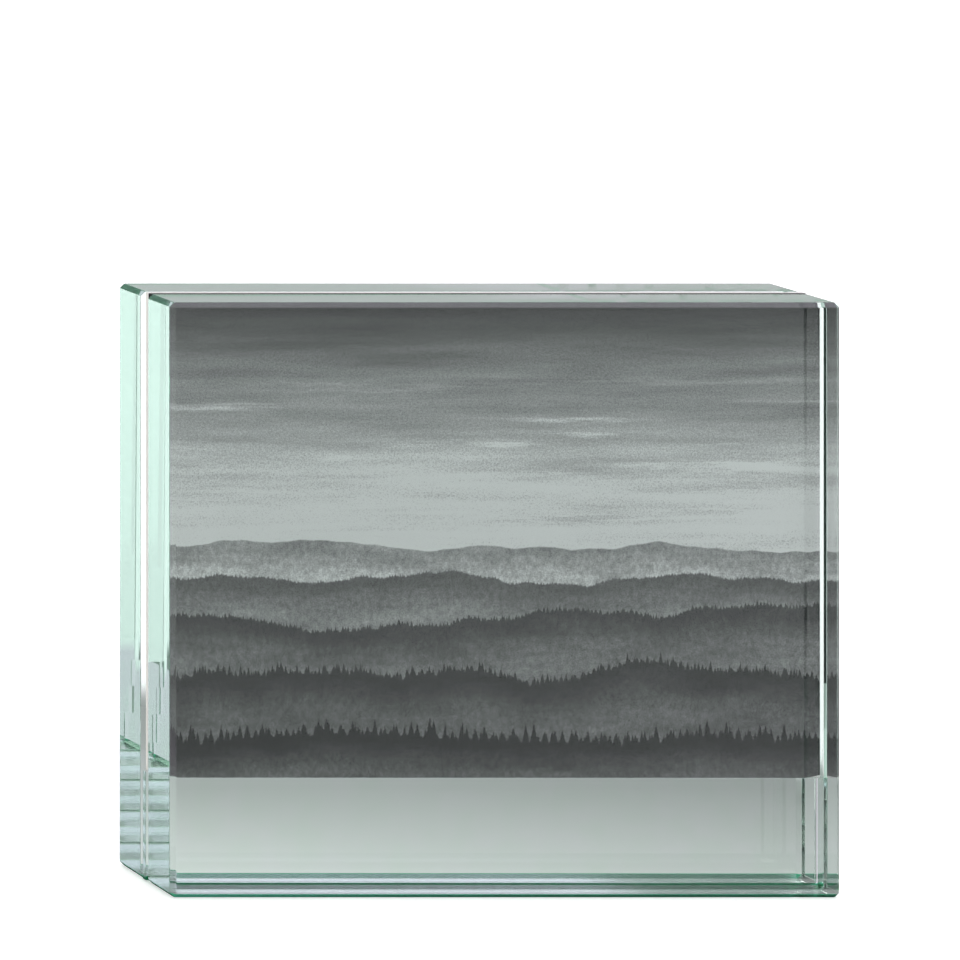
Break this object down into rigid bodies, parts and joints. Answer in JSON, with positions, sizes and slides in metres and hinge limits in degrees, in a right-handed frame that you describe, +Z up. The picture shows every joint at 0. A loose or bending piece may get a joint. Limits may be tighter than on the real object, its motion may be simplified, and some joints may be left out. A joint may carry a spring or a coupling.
{
  "type": "glass picture frame",
  "caption": "Free-standing picture frame of thick clear glass blocks, bonded along the base by a spacer, with an open slot that holds a loose print and its backing card.",
  "frame": {"origin": "under the middle of the slot, on the table plane that the glass blocks stand on", "axes": "+Z up, +X along the width to the viewer's right, +Y from the front glass to the rear glass, so the picture faces -Y"},
  "size_m": [0.18, 0.032, 0.16],
  "materials": {
    "clear_glass": "clear low-iron glass, polished faces and bevels, faint green in depth",
    "spacer_glass": "clear glass strip, ground edges",
    "clear_bond": "clear cured adhesive",
    "print_paper": "satin photo paper with a grey print on the front, white on the back",
    "white_card": "matt white mount card"
  },
  "bodies": {
    "glass_frame": {"front_glass": "clear_glass", "rear_glass": "clear_glass", "base_spacer": "spacer_glass", "front_bond_film": "clear_bond", "rear_bond_film": "clear_bond"},
    "print": {"photo_print": "print_paper"},
    "card": {"backing_card": "white_card"}
  },
  "joints": [
    {"name": "print_lift", "type": "slide", "parent": "glass_frame", "child": "print", "axis": [0, 0, 1], "range_m": [0, 0.135]},
    {"name": "card_lift", "type": "slide", "parent": "glass_frame", "child": "card", "axis": [0, 0, 1], "range_m": [0, 0.135]}
  ]
}
